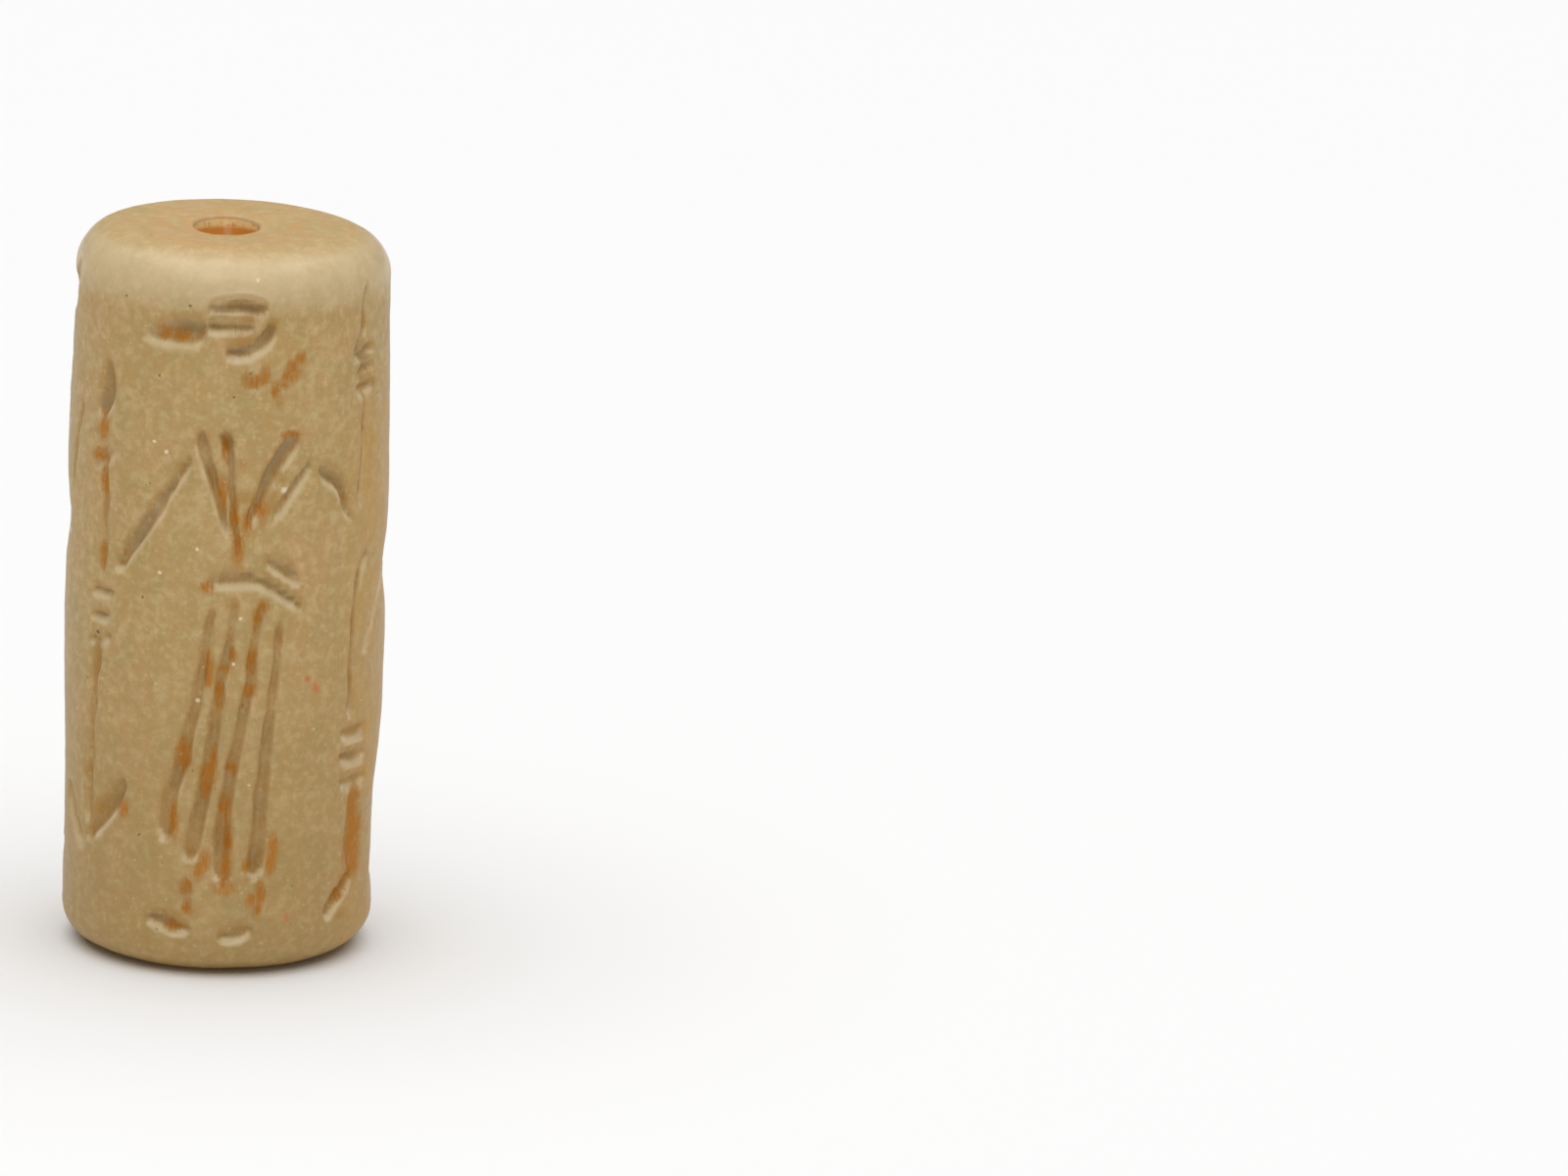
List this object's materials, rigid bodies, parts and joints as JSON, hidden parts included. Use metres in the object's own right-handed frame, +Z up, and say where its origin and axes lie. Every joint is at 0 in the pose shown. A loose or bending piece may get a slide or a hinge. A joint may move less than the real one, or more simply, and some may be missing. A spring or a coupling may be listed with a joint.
{
  "type": "cylinder seal",
  "caption": "Small carved stone column with a bore along its axis, rolled over soft clay to print its frieze.",
  "frame": {"origin": "centre of the lower end, on the surface it stands on", "axes": "+Z up along the bore, -Y out of the front, where the long-muzzled figure is carved"},
  "size_m": [0.0156, 0.0156, 0.036],
  "materials": {
    "stone": "satin"
  },
  "bodies": {
    "root": {"seal": "stone"}
  },
  "joints": []
}
